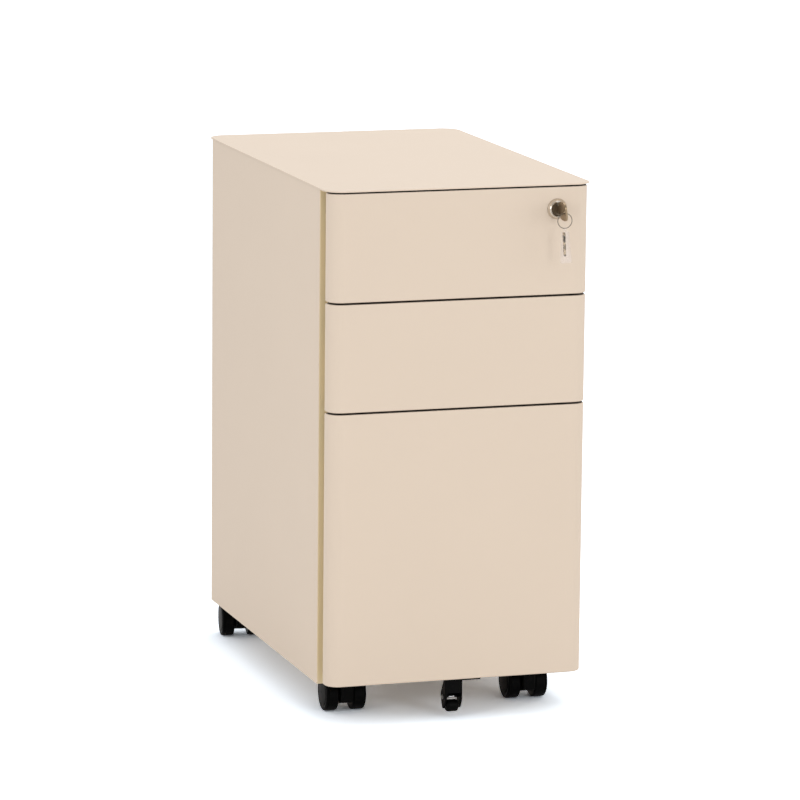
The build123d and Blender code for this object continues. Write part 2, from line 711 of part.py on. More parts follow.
def key_sleeve():
    tube = sleeve_tube(0) - sleeve_tube(SLEEVE_WALL)
    hole_z = RING_WIRE_R + RING_SEAT_GAP - SLEEVE_LUG_HOLE_R
    low_z = SLEEVE_LUG_HOLE_R - RING_WIRE_R - SLEEVE_LUG_H
    half = SLEEVE_LUG_SHEET
    lug = make_face(Polyline((-half, low_z), (half, low_z), (half, hole_z), (-half, hole_z), close=True))
    lug = lug + Pos(0, hole_z) * Circle(half)
    lug = lug - Pos(0, hole_z) * Circle(SLEEVE_LUG_HOLE_R)
    lug = along_x(lug, -SLEEVE_LUG_SHEET / 2, SLEEVE_LUG_SHEET / 2)
    return hung_from_ring(tube + lug)


def spare_key():
    top_z = SLEEVE_LUG_HOLE_R - RING_WIRE_R - SLEEVE_LUG_H - SLEEVE_WALL
    head_half = SLEEVE_DEPTH / 2 - SLEEVE_WALL
    head = make_face(
        Polyline(
            (-head_half, top_z - SPARE_HEAD_LENGTH),
            (head_half, top_z - SPARE_HEAD_LENGTH),
            (head_half, top_z),
            (-head_half, top_z),
            close=True,
        )
    )
    blade = key_blade(SPARE_LENGTH, SPARE_HEAD_LENGTH - 1, SPARE_BLADE_H, KEY_CUT_DEPTHS)
    blade = Pos(0, top_z) * (Rot(0, 0, -90) * blade)
    offset = -SPARE_OFFSET
    plate = along_x(head + blade, offset - SPARE_SHEET / 2, offset + SPARE_SHEET / 2)
    return hung_from_ring(plate)


# Lock bar

def catch_low_z(name):
    return DRAWERS[name][3] - CATCH_BELOW_BOX_TOP - CATCH_HEIGHT


def lock_bar():
    arm_z = (PIN_Z - BAR_ARM_H / 2, PIN_Z + BAR_ARM_H / 2)
    foot_z = catch_low_z("file") - BAR_TAB_DROP - BAR_TAB_H - BAR_FOOT
    face_y = (BAR_Y, BAR_Y + BAR_SHEET)
    bar = block((BAR_X, BAR_X + BAR_SHEET), (BAR_Y, BAR_Y + BAR_WIDTH), (foot_z, arm_z[1]))
    for name in DRAWERS:
        tab_top = catch_low_z(name) - BAR_TAB_DROP
        tab_z = (tab_top - BAR_TAB_H, tab_top)
        bar = bar + block((BAR_X - BAR_TAB_REACH, BAR_X + BAR_SHEET), face_y, tab_z)
    slot_half = CAM_PIN_R + BAR_SLOT_PLAY
    slot_left = LOCK_X - CAM_THROW - slot_half - BAR_SLOT_OVERRUN
    slot_right = PIN_X + slot_half + BAR_SLOT_OVERRUN
    arm = block((slot_left - BAR_ARM_END, BAR_X + BAR_SHEET), face_y, arm_z)
    slot = block((slot_left, slot_right), face_y, (PIN_Z - slot_half, PIN_Z + slot_half))
    return bar + arm - slot


def lock_bar_guides():
    """Two clips on the case's side that hold the bar and let it slide up and down."""
    top_z = PIN_Z
    inner_x = BAR_X - GUIDE_CLEARANCE
    inner_y = (BAR_Y - GUIDE_CLEARANCE, BAR_Y + BAR_WIDTH + GUIDE_CLEARANCE)
    outer_y = (inner_y[0] - GUIDE_SHEET, inner_y[1] + GUIDE_SHEET)
    guides = []
    for drop in GUIDE_DROPS:
        span_z = (top_z - drop - GUIDE_HEIGHT, top_z - drop)
        clip = block((inner_x - GUIDE_SHEET, CASE_INNER), outer_y, span_z)
        clip = clip - block((inner_x, BAR_X + BAR_SHEET + GUIDE_CLEARANCE), inner_y, span_z)
        mouth_y = (inner_y[0] + GUIDE_LIP, inner_y[1] - GUIDE_LIP)
        guides.append(clip - block((inner_x - GUIDE_SHEET, inner_x), mouth_y, span_z))
    return guides


# Castors

def castor_screw_offsets():
    half = PLATE_HOLE_SPACING / 2
    return [(dx, dy) for dx in (-half, half) for dy in (-half, half)]


def castor_screw_places():
    return [(x + dx, y + dy) for x, y in CASTOR_PLACES.values() for dx, dy in castor_screw_offsets()]


def castor_plates():
    """A square plate with its king pin, at each castor."""
    half = PLATE_SIZE / 2
    low = BASE_Z - PLATE_SHEET
    outline = [(-half, -half), (half, -half), (half, half), (-half, half)]
    plate = Pos(0, 0, low) * extrude(rounded(outline, [PLATE_CORNER_R] * 4), PLATE_SHEET)
    for dx, dy in castor_screw_offsets():
        plate = plate - rod_z(dx, dy, SCREW_R + SCREW_CLEARANCE, low, BASE_Z)
    plate = plate + rod_z(0, 0, KING_PIN_R, low - KING_PIN_LENGTH, low)
    return [Pos(x, y, 0) * plate for x, y in CASTOR_PLACES.values()]


def castor_screws():
    low = BASE_Z - PLATE_SHEET
    head = rod_z(0, 0, SCREW_HEAD_R, low - SCREW_HEAD_H, low)
    head = fillet(head.faces().sort_by(Axis.Z)[0].edges(), SCREW_HEAD_ROUND)
    screw = head + rod_z(0, 0, SCREW_R, low, BASE_TOP_Z + BASE_COLLAR_H)
    return [Pos(x, y, 0) * screw for x, y in castor_screw_places()]


def castor_housing():
    """The body between the two wheels, with the stem axis at the origin and the axle behind it."""
    top = BASE_Z - PLATE_SHEET - HOUSING_TOP_GAP
    boss_low = top - HOUSING_BOSS_H
    nose = Pos(0, (HOUSING_NOSE_Z + boss_low) / 2) * Rectangle(2 * HOUSING_NOSE, boss_low - HOUSING_NOSE_Z)
    disc = Pos(CASTOR_TRAIL, WHEEL_R) * Circle(HOUSING_R)
    side = make_hull(nose.edges() + disc.edges())
    half = HOUSING_WIDTH / 2
    web = along_x(side, -half, half)
    web = chamfer(web.faces().filter_by(Axis.X).edges(), HOUSING_CHAMFER)
    half = half + HOUSING_HUB_STEP
    hubs = rod_x(CASTOR_TRAIL, WHEEL_R, HOUSING_HUB_R, -half, half)
    body = web + hubs + rod_z(0, 0, HOUSING_BOSS_R, boss_low, top)
    pin_low = BASE_Z - PLATE_SHEET - KING_PIN_LENGTH - KING_PIN_END_GAP
    body = body - rod_z(0, 0, KING_PIN_R + KING_PIN_CLEARANCE, pin_low, top)
    return body - rod_x(CASTOR_TRAIL, WHEEL_R, AXLE_R + HOUSING_HOLE_CLEARANCE, -half, half)


def wheel_inner_x():
    return HOUSING_WIDTH / 2 + HOUSING_HUB_STEP + WHEEL_SIDE_GAP


def castor_wheel():
    """The right-hand wheel, closed on its outer face, with a moulded line beside its tread."""
    bore = AXLE_R + WHEEL_BORE_CLEARANCE
    inner = WHEEL_R - WHEEL_INNER_ROUND
    rim_x = WHEEL_WIDTH - WHEEL_DOME
    tread_x = rim_x - WHEEL_OUTER_ROUND
    outer = WHEEL_R - WHEEL_OUTER_ROUND
    slant = math.cos(math.radians(45))
    inner_mid = (WHEEL_INNER_ROUND * (1 - slant), inner + WHEEL_INNER_ROUND * slant)
    outer_mid = (tread_x + WHEEL_OUTER_ROUND * slant, outer + WHEEL_OUTER_ROUND * slant)
    line_low = (tread_x - WHEEL_LINE_W / 2, WHEEL_R - WHEEL_LINE_DEPTH)
    dome_r = (WHEEL_HUB_R ** 2 + WHEEL_DOME ** 2) / (2 * WHEEL_DOME)
    dome_centre = rim_x + WHEEL_DOME - dome_r
    dome_mid = (dome_centre + math.sqrt(dome_r ** 2 - WHEEL_HUB_R ** 2 / 4), WHEEL_HUB_R / 2)
    profile = make_face(
        [
            Line((0, bore), (0, inner)),
            ThreePointArc((0, inner), inner_mid, (WHEEL_INNER_ROUND, WHEEL_R)),
            Line((WHEEL_INNER_ROUND, WHEEL_R), (tread_x - WHEEL_LINE_W, WHEEL_R)),
            Line((tread_x - WHEEL_LINE_W, WHEEL_R), line_low),
            Line(line_low, (tread_x, WHEEL_R)),
            ThreePointArc((tread_x, WHEEL_R), outer_mid, (rim_x, outer)),
            Line((rim_x, outer), (rim_x - WHEEL_GROOVE, WHEEL_HUB_R + WHEEL_GROOVE / 2)),
            Line((rim_x - WHEEL_GROOVE, WHEEL_HUB_R + WHEEL_GROOVE / 2), (rim_x, WHEEL_HUB_R)),
            ThreePointArc((rim_x, WHEEL_HUB_R), dome_mid, (rim_x + WHEEL_DOME, 0)),
            Line((rim_x + WHEEL_DOME, 0), (WHEEL_BORE_DEPTH, 0)),
            Line((WHEEL_BORE_DEPTH, 0), (WHEEL_BORE_DEPTH, bore)),
            Line((WHEEL_BORE_DEPTH, bore), (0, bore)),
        ]
    )
    wheel = revolve(profile, Axis.X)
    return Pos(wheel_inner_x(), CASTOR_TRAIL, WHEEL_R) * wheel


def castor_axle():
    half = wheel_inner_x() + WHEEL_BORE_DEPTH - AXLE_END_GAP
    return rod_x(CASTOR_TRAIL, WHEEL_R, AXLE_R, -half, half)


def placed_castor(corner, piece):
    x, y = CASTOR_PLACES[corner]
    return Pos(x, y, 0) * Rot(0, 0, CASTOR_TURNS[corner]) * piece


# Support castor under the file drawer

def support_axle_place():
    return FRONT_Y + SUPPORT_AXLE_SETBACK, SUPPORT_WHEEL_LIFT + SUPPORT_WHEEL_R


def support_rivet_place():
    axle_y, axle_z = support_axle_place()
    return FRONT_Y + SUPPORT_RIVET_SETBACK, axle_z + SUPPORT_WHEEL_R + SUPPORT_RIVET_GAP + SUPPORT_RIVET_R


def support_tab_screws():
    """The X and Z of the two screws that go forward into the liner."""
    z = FRONT_LIFT + SUPPORT_TAB_H / 2
    inset = SUPPORT_SCREW_INSET
    return [(SUPPORT_PLATE_RIGHT - inset, z), (-SUPPORT_PLATE_LEFT + inset, z)]


def support_inner_half():
    return SUPPORT_WHEEL_WIDTH / 2 + SUPPORT_SIDE_GAP


def support_side(inset):
    """The hood's outline in Y and Z, from its crown to its foot round the axle, moved inwards by inset."""
    high_z = FRONT_LIFT - SUPPORT_PLATE_SHEET - inset
    wall_y = FRONT_Y + SUPPORT_WALL_SETBACK + inset
    crown_y = FRONT_Y + SUPPORT_WALL_SETBACK + SUPPORT_CROWN_DEPTH - inset
    crown_z = high_z - SUPPORT_CROWN_H + inset
    crown = Polyline((wall_y, SUPPORT_NOSE_Z), (wall_y, high_z), (crown_y, high_z), (crown_y, crown_z))
    boss = Pos(FRONT_Y + SUPPORT_BOSS_SETBACK, SUPPORT_BOSS_Z) * Circle(SUPPORT_BOSS_R - inset)
    foot = Pos(*support_axle_place()) * Circle(SUPPORT_FOOT_R - inset)
    return make_hull(crown.edges() + boss.edges() + foot.edges())


def support_hood():
    """The hood over the wheel: a front wall with round corners, two cheeks and a short rear wall."""
    inner = support_inner_half()
    outer = inner + SUPPORT_WALL
    front = FRONT_Y + SUPPORT_WALL_SETBACK
    back = LINER_BACK_Y + SUPPORT_BOSS_R
    corners = [(-outer, front), (outer, front), (outer, back), (-outer, back)]
    plan = rounded(corners, [SUPPORT_CORNER_R] * 2 + [0] * 2)
    hood = along_x(support_side(0), -outer, outer) & extrude(plan, FRONT_LIFT)
    hood = hood - along_x(support_side(SUPPORT_WALL), -inner, inner)
    boss_y = FRONT_Y + SUPPORT_BOSS_SETBACK
    hood = hood - block((-inner, inner), (front - 1, boss_y), (0, SUPPORT_WALL_Z))
    return hood - block((-inner, inner), (boss_y, back), (0, SUPPORT_REAR_WALL_Z))


def support_bracket():
    """A folded plate screwed to the file drawer's liner, with the hood that holds the wheel under it."""
    low_z = FRONT_LIFT - SUPPORT_PLATE_SHEET
    back_y = LINER_BACK_Y + SUPPORT_PLATE_SHEET
    span_x = (-SUPPORT_PLATE_LEFT, SUPPORT_PLATE_RIGHT)
    plate = block(span_x, (FRONT_Y + SUPPORT_PLATE_FRONT, back_y), (low_z, FRONT_LIFT))
    tab = block(span_x, (LINER_BACK_Y, back_y), (low_z, FRONT_LIFT + SUPPORT_TAB_H))
    bracket = plate + tab + support_hood()
    bore_end = support_inner_half() + SUPPORT_AXLE_BLIND
    bore_r = SUPPORT_AXLE_R + HOUSING_HOLE_CLEARANCE
    bracket = bracket - rod_x(*support_axle_place(), bore_r, -bore_end, bore_end)
    outer = support_inner_half() + SUPPORT_WALL
    bracket = bracket - rod_x(*support_rivet_place(), SUPPORT_RIVET_R, -outer, outer)
    for x, z in support_tab_screws():
        bracket = bracket - rod_y(x, z, SUPPORT_SCREW_R, LINER_BACK_Y, back_y)
    return bracket


def support_axle():
    end = support_inner_half() + SUPPORT_AXLE_BLIND
    return rod_x(*support_axle_place(), SUPPORT_AXLE_R, -end, end)


def support_wheel():
    axle_y, axle_z = support_axle_place()
    half = SUPPORT_WHEEL_WIDTH / 2
    wheel = rod_x(axle_y, axle_z, SUPPORT_WHEEL_R, -half, half)
    wheel = fillet(wheel.edges().filter_by(GeomType.CIRCLE), SUPPORT_WHEEL_ROUND)
    return wheel - rod_x(axle_y, axle_z, SUPPORT_AXLE_R + WHEEL_BORE_CLEARANCE, -half, half)


def support_fasteners():
    """Two screws through the bracket's tab, and the rivet that ties the hood's cheeks over the wheel."""
    back_y = LINER_BACK_Y + SUPPORT_PLATE_SHEET
    fasteners = []
    for x, z in support_tab_screws():
        head = rod_y(x, z, SUPPORT_SCREW_HEAD_R, back_y, back_y + SUPPORT_SCREW_HEAD_H)
        fasteners.append(head + rod_y(x, z, SUPPORT_SCREW_R, back_y - SUPPORT_SCREW_LENGTH, back_y))
    place = support_rivet_place()
    face_x = support_inner_half() + SUPPORT_WALL
    end_x = face_x + SUPPORT_RIVET_HEAD_H
    rivet = rod_x(*place, SUPPORT_RIVET_R, -end_x, end_x)
    for head in both_sides(rod_x(*place, SUPPORT_RIVET_HEAD_R, face_x, end_x)):
        rivet = rivet + head
    return fasteners + [rivet]


def all_nodes():
    nodes = {
        "case_wrap": case_wrap(),
        "top_panel": top_panel(),
        "base_plate": base_plate(),
        "front_top_rail": front_top_rail(),
        "right_slide_carriers": slide_carriers(),
        "left_slide_carriers": [both_sides(carrier)[1] for carrier in slide_carriers()],
        "lock_bar": lock_bar(),
        "lock_bar_guides": lock_bar_guides(),
        "lock_barrel": lock_barrel(),
        "lock_nut": lock_nut(),
        "lock_plug": lock_plug(),
        "lock_cam": lock_cam(),
        "key": key(),
        "key_ring": key_ring(),
        "key_sleeve": key_sleeve(),
        "spare_key": spare_key(),
        "castor_plates": castor_plates(),
        "castor_screws": castor_screws(),
        "file_rails": file_rails(),
        "support_castor_bracket": support_bracket(),
        "support_castor_axle": support_axle(),
        "support_castor_wheel": support_wheel(),
        "support_castor_fasteners": support_fasteners(),
    }
    for name in DRAWERS:
        nodes[f"{name}_drawer_front"] = drawer_front(name)
        nodes[f"{name}_drawer_liner"] = drawer_liner(name)
        nodes[f"{name}_drawer_box"] = drawer_box(name)
        nodes[f"{name}_drawer_catch"] = drawer_catch(name)
        for member, solid in slide_members(name).items():
            nodes[f"{name}_slides_{member}"] = both_sides(solid)
    for corner in CASTOR_PLACES:
        right_wheel, left_wheel = both_sides(castor_wheel())
        nodes[f"{corner}_castor_housing"] = placed_castor(corner, castor_housing())
        nodes[f"{corner}_castor_axle"] = placed_castor(corner, castor_axle())
        nodes[f"{corner}_castor_left_wheel"] = placed_castor(corner, left_wheel)
        nodes[f"{corner}_castor_right_wheel"] = placed_castor(corner, right_wheel)
    return nodes


for node, shape in all_nodes().items():
    pieces = shape if isinstance(shape, list) else [shape]
    solids = [solid for piece in pieces for solid in piece.solids()]
    export_step(Compound(children=solids) if len(solids) > 1 else solids[0], f"parts/{node}.step")
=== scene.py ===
"""Finish, light and camera for the mobile pedestal."""

import json
import math

import bpy
from mathutils import Matrix, Vector


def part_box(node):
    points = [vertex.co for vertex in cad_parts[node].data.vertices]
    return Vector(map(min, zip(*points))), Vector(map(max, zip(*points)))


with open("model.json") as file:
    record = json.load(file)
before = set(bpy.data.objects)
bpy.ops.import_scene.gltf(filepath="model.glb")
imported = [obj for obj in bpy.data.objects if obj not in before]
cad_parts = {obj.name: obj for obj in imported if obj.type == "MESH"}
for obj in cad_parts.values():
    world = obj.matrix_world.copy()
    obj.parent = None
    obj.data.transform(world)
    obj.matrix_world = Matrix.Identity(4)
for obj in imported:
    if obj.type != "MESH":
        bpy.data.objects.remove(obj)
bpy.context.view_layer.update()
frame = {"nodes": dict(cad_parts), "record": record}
nodes = frame["nodes"]

# Colours, in linear light
SHELL_BEIGE = (0.765, 0.640, 0.520)
# Painted reflection: warm bounced light, with painted shade, on the case's flanges behind a drawer front
GROOVE_PAINTED_BOUNCE = (0.86, 0.70, 0.42)
# Painted shade: near black for narrow joints and gaps between pieces
CREVICE_PAINTED_SHADE = (0.006, 0.003, 0.001)
INSIDE_BEIGE = (0.745, 0.617, 0.495)
ZINC = (0.60, 0.61, 0.62)
NICKEL = (0.66, 0.60, 0.52)
# Painted shade: dark nickel inside the lock's bore around the plug
BORE_PAINTED_SHADE = (0.09, 0.07, 0.05)
# Darkened nickel for the plug's face: painted shade of its recess and painted dark reflection
PLUG_SHADE_NICKEL = (0.17, 0.135, 0.095)
KEY_NICKEL = (0.34, 0.255, 0.165)
# Spare key: bright painted glints and dark painted shade, in patches along its blade
SPARE_GLINT_NICKEL = (0.62, 0.50, 0.33)
SPARE_PAINTED_SHADE = (0.045, 0.038, 0.010)
RING_NICKEL = (0.16, 0.14, 0.11)
CLEAR_PLASTIC = (0.90, 0.84, 0.86)
MOULDED_BLACK = (0.002, 0.002, 0.002)
# Rivet through the support castor's hood: bare steel, and near black painted shade on the shank beside the
# hood's walls
RIVET_STEEL = (0.62, 0.62, 0.63)
RIVET_PAINTED_SHADE = (0.012, 0.012, 0.012)
WHITE = (1, 1, 1)

# Width in metres of a joint between two pieces in which the paint takes painted shade
CREVICE_REACH = 0.004

# Open share of a point's surroundings at which the painted shade in a joint is full, and at which it is
# gone
CREVICE_OPENNESS = (0.3, 0.68)

# How near a drawer front stands, in metres, for the flange behind it to take a painted warm reflection
GROOVE_REACH = 0.030

# Open share of a point's surroundings at which a flange has none of its painted warm reflection, and at
# which it has all of it
GROOVE_OPENNESS = (0.95, 0.75)

# Depth in metres behind a flange's face that still counts as its face
FLANGE_SKIN = 0.0003

# How far the painted shade in the lock's bore reaches beyond the plug, in metres
BORE_MARGIN = 0.0012

# Half the bare middle of the support castor's rivet, beyond which painted shade darkens the shank, and the
# inner side of the hood's walls, in metres
RIVET_BARE_HALF = 0.0031
HOOD_WALL_X = 0.008

# Depth in metres of the finest relief, and of the orange peel in the paint
FINE_RELIEF = 0.0001
PEEL_RELIEF = 0.0002

# Stretch of fine marks along each axis: even, and drawn out along an axle, a key and a slide
EVEN = (1, 1, 1)
ALONG_AXLE = (0.03, 1, 1)
ALONG_KEY = (1, 0.1, 1)
ALONG_SLIDE = (1, 0.04, 1)

# Strength of the even light, and of the room before the pedestal in reflections
WORLD_LIGHT = 0.815
ROOM_DARK = 0.35

# Part of a direction along Y at which the room is dark, and at which it is white
ROOM_FRONT = -0.7
ROOM_BACK = 0.3

# Floor, as light sees it, as the camera sees it and as shiny and clear things see it
FLOOR_PLAIN = (0.72, 0.72, 0.72)
FLOOR_SHOWN = (1.56, 1.67, 1.79)
FLOOR_REFLECTED = (0.98, 0.98, 0.98)
FLOOR_HALF = 30.0

# Lamps: name, place and target in metres, size in metres, power in watts
SOFTBOXES = (
    ("overhead", (0.4, 0.3, 2.6), (0, 0, 0.3), 1.8, 12),
    ("front_right", (0.95, -3.3, 1.3), (0.05, -0.2, 0.4), 0.7, 14),
    ("right", (2.5, -1.9, 1.0), (0.15, -0.1, 0.35), 1.2, 8),
    ("front_left", (-2.6, -1.4, 1.1), (-0.1, -0.1, 0.35), 1.0, 13),
)

# Camera: place in metres, angles in degrees, lens and sensor in millimetres, for a square picture
CAMERA_PLACE = (-1.6342, -5.0709, 1.30835)
CAMERA_YAW = 17.91
CAMERA_PITCH = 10.54
CAMERA_ROLL = 0.563
FOCAL_LENGTH = 216.1
SENSOR_WIDTH = 36.0
FARTHEST_SEEN = 100


class Value:
    """A node's output, on which arithmetic adds Math nodes."""

    def __init__(self, finish, socket):
        self.finish = finish
        self.socket = socket

    def __add__(self, other):
        return self.finish.math("ADD", self, other)

    def __radd__(self, other):
        return self.finish.math("ADD", other, self)

    def __mul__(self, other):
        return self.finish.math("MULTIPLY", self, other)

    def __rmul__(self, other):
        return self.finish.math("MULTIPLY", other, self)

    def __rsub__(self, other):
        return self.finish.math("SUBTRACT", other, self)


class Finish:
    """A material in the making."""

    def __init__(self, name):
        self.material = bpy.data.materials.new(name)
        self.material.use_nodes = True
        self.tree = self.material.node_tree
        self.tree.nodes.clear()

    def node(self, kind, settings=None, sockets=None, output=0):
        made = self.tree.nodes.new("ShaderNode" + kind)
        for key, value in (settings or {}).items():
            setattr(made, key, value)
        for key, value in (sockets or {}).items():
            if isinstance(value, Value):
                self.tree.links.new(value.socket, made.inputs[key])
            else:
                made.inputs[key].default_value = value
        return Value(self, made.outputs[output])

    def math(self, operation, *terms):
        return self.node("Math", {"operation": operation}, dict(enumerate(terms)))

    def place(self, stretch=EVEN):
        """Position on the piece in metres, stretched along each axis."""
        where = self.node("TexCoord", output="Object")
        return self.node("VectorMath", {"operation": "MULTIPLY"}, {0: where, 1: stretch})

    def along(self, axis):
        """Position on the piece along one axis, 0 for X and 1 for Y."""
        return self.node("SeparateXYZ", {}, {0: self.place()}, output=axis)

    def noise(self, scale, detail=2.0, stretch=EVEN):
        sockets = {"Vector": self.place(stretch), "Scale": scale, "Detail": detail}
        return self.node("TexNoise", {}, sockets)

    def ramp(self, value, start, end):
        """0 up to start and 1 from end on."""
        return self.node("MapRange", {}, {"Value": value, "From Min": start, "From Max": end})

    def openness(self, reach, samples):
        """Share of a point's surroundings, as far as reach, that holds nothing."""
        return self.node("AmbientOcclusion", {"samples": samples}, {"Distance": reach}, output="AO")

    def mixed(self, factor, first, second):
        """A colour between two others, each a colour or a value."""
        ends = [end if isinstance(end, Value) else (*end, 1) for end in (first, second)]
        sockets = {"Factor": factor, 6: ends[0], 7: ends[1]}
        return self.node("Mix", {"data_type": "RGBA"}, sockets, output=2)

    def bump(self, height, strength, distance):
        return self.node("Bump", {}, {"Height": height, "Strength": strength, "Distance": distance})

    def finish(self, **sockets):
        """Closes the material with its surface shader, named by its socket names with underscores."""
        named = {key.replace("_", " "): value for key, value in sockets.items()}
        self.show(self.node("BsdfPrincipled", {}, named))
        return self.material

    def show(self, surface):
        out = self.tree.nodes.new("ShaderNodeOutputMaterial")
        self.tree.links.new(surface.socket, out.inputs["Surface"])


def shade(colour, factor):
    return tuple(channel * factor for channel in colour)


def powder_coat(name, colour, groove=None, groove_y=0.0):
    """Satin powder coat with fine orange peel, with painted shade in narrow joints and a painted warm
    reflection on flanges behind a front.
    """
    f = Finish(name)
    drift = f.noise(7.0, 1.0)
    tone = f.mixed(drift, shade(colour, 0.985), shade(colour, 1.015))
    if groove:
        # Painted reflection: a flange face behind a near drawer front turns warm
        covered = f.ramp(f.openness(GROOVE_REACH, 8), *GROOVE_OPENNESS)
        inside = f.math("LESS_THAN", f.along(1), groove_y) * covered
        tone = f.mixed(inside, tone, groove)
    # Painted shade: where little of the surroundings is open, the paint turns near black
    open_air = f.ramp(f.openness(CREVICE_REACH, 4), *CREVICE_OPENNESS)
    peel = f.noise(520.0, 2.0)
    return f.finish(
        Base_Color=f.mixed(open_air, CREVICE_PAINTED_SHADE, tone),
        Roughness=0.42 + 0.06 * f.noise(60.0, 3.0) + 0.5 * (1 - open_air),
        Normal=f.bump(peel, 0.10, PEEL_RELIEF),
        Specular_IOR_Level=0.14,
    )


def plated(name, colour, roughness, stretch, scale, strength, bore=None, axis_at=(0, 0), bore_r=0.0):
    """Plated metal with fine marks and a slight haze, and with painted shade in a bore along Y where there
    is one.
    """
    f = Finish(name)
    marks = f.noise(scale, 4.0, stretch)
    haze = f.noise(90.0, 3.0)
    tone = f.mixed(haze, shade(colour, 0.88), shade(colour, 1.08))
    if bore:
        # Painted shade inside the bore
        axis = (axis_at[0], 0, axis_at[1])
        beside = f.node("VectorMath", {"operation": "SUBTRACT"}, {0: f.place((1, 0, 1)), 1: axis})
        reach = f.node("VectorMath", {"operation": "LENGTH"}, {0: beside}, output="Value")
        tone = f.mixed(f.math("LESS_THAN", reach, bore_r), tone, bore)
    return f.finish(
        Base_Color=tone,
        Metallic=1.0,
        Roughness=roughness + 0.12 * marks + 0.08 * haze,
        Normal=f.bump(marks, strength, FINE_RELIEF),
    )


def glint_painted_blade(name, bright, dark):
    """A key's blade, on which bright patches of painted glint lie between dark patches of painted shade,
    set by noise.
    """
    f = Finish(name)
    # Painted glints and painted shade: noise sets bright and dark patches
    painted_glints = f.ramp(f.noise(260.0, 2.0), 0.46, 0.60)
    marks = f.noise(1600.0, 4.0, ALONG_KEY)
    return f.finish(
        Base_Color=f.mixed(painted_glints, dark, bright),
        Metallic=1.0,
        Roughness=0.22 + 0.12 * marks,
        Normal=f.bump(marks, 0.20, FINE_RELIEF),
    )


def shaded_shank_rivet(name, bare, painted):
    """The rivet through the hood: bare steel on its shank's middle and its heads, with painted shade
    darkening the shank between, which narrows its glint.
    """
    f = Finish(name)
    across = f.math("ABSOLUTE", f.along(0))
    middle = f.math("LESS_THAN", across, RIVET_BARE_HALF)
    heads = f.math("GREATER_THAN", across, HOOD_WALL_X)
    marks = f.noise(900.0, 4.0, ALONG_AXLE)
    return f.finish(
        # Painted shade on the shank beside the hood's walls
        Base_Color=f.mixed(middle + heads, painted, bare),
        Metallic=1.0,
        Roughness=0.24 + 0.12 * marks,
        Normal=f.bump(marks, 0.15, FINE_RELIEF),
    )


def moulded(name, colour, roughness, grain):
    """Black moulded nylon, finely grained, a little dusty in places."""
    f = Finish(name)
    dust = f.noise(45.0, 4.0)
    texture = f.noise(1400.0, 2.0)
    return f.finish(
        Base_Color=f.mixed(dust, colour, shade(colour, 1.5)),
        Roughness=roughness + 0.10 * dust,
        Normal=f.bump(texture, grain, FINE_RELIEF),
        Specular_IOR_Level=0.05,
    )


def clear_moulding(name, colour):
    """Thin clear plastic, a little milky, through which what it holds shows."""
    f = Finish(name)
    haze = f.noise(160.0, 3.0)
    return f.finish(
        Base_Color=f.mixed(haze, shade(colour, 0.95), colour),
        Roughness=0.10 + 0.12 * haze,
        Alpha=0.04 + 0.06 * haze,
        Normal=f.bump(haze, 0.08, PEEL_RELIEF),
    )


def bezel_nickel():
    """Bright nickel for the lock's barrel and nut, with painted shade inside the bore that the plug sits
    in.
    """
    low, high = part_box("lock_plug")
    axis_at = ((low[0] + high[0]) / 2, (low[2] + high[2]) / 2)
    bore_r = (high[0] - low[0]) / 2 + BORE_MARGIN
    return plated("nickel_plate", NICKEL, 0.10, EVEN, 700.0, 0.06, BORE_PAINTED_SHADE, axis_at, bore_r)


flange_face_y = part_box("case_wrap")[0][1] + FLANGE_SKIN

FINISHES = {
    "shell_paint": powder_coat("shell_paint", SHELL_BEIGE),
    "inside_paint": powder_coat("inside_paint", INSIDE_BEIGE),
    "zinc_steel": plated("zinc_plate", ZINC, 0.30, ALONG_SLIDE, 900.0, 0.15),
    "nickel": bezel_nickel(),
    "nickel_brass": plated("key_plate", KEY_NICKEL, 0.24, ALONG_KEY, 1600.0, 0.20),
    "sleeve_plastic": clear_moulding("clear_sleeve", CLEAR_PLASTIC),
    "castor_black": moulded("castor_nylon", MOULDED_BLACK, 0.42, 0.10),
    "wheel_black": moulded("wheel_nylon", MOULDED_BLACK, 0.34, 0.05),
    "axle_steel": plated("turned_steel", ZINC, 0.25, ALONG_AXLE, 900.0, 0.15),
    "bracket_black": moulded("bracket_paint", MOULDED_BLACK, 0.30, 0.08),
}
OWN_FINISHES = {
    "case_wrap": powder_coat("case_paint", SHELL_BEIGE, GROOVE_PAINTED_BOUNCE, flange_face_y),
    # The plug's face carries painted shade and painted dark reflection
    "lock_plug": plated("plug_face", PLUG_SHADE_NICKEL, 0.22, EVEN, 1200.0, 0.10),
    "key_ring": plated("ring_wire", RING_NICKEL, 0.20, EVEN, 900.0, 0.06),
    "support_castor_fasteners": shaded_shank_rivet("rivet_steel", RIVET_STEEL, RIVET_PAINTED_SHADE),
    "spare_key": glint_painted_blade("spare_plate", SPARE_GLINT_NICKEL, SPARE_PAINTED_SHADE),
}

for part in frame["record"]["subparts"]:
    name = part["node"]
    for material_slot in nodes[name].material_slots:
        material_slot.material = OWN_FINISHES.get(name, FINISHES[part["material_slot"]])


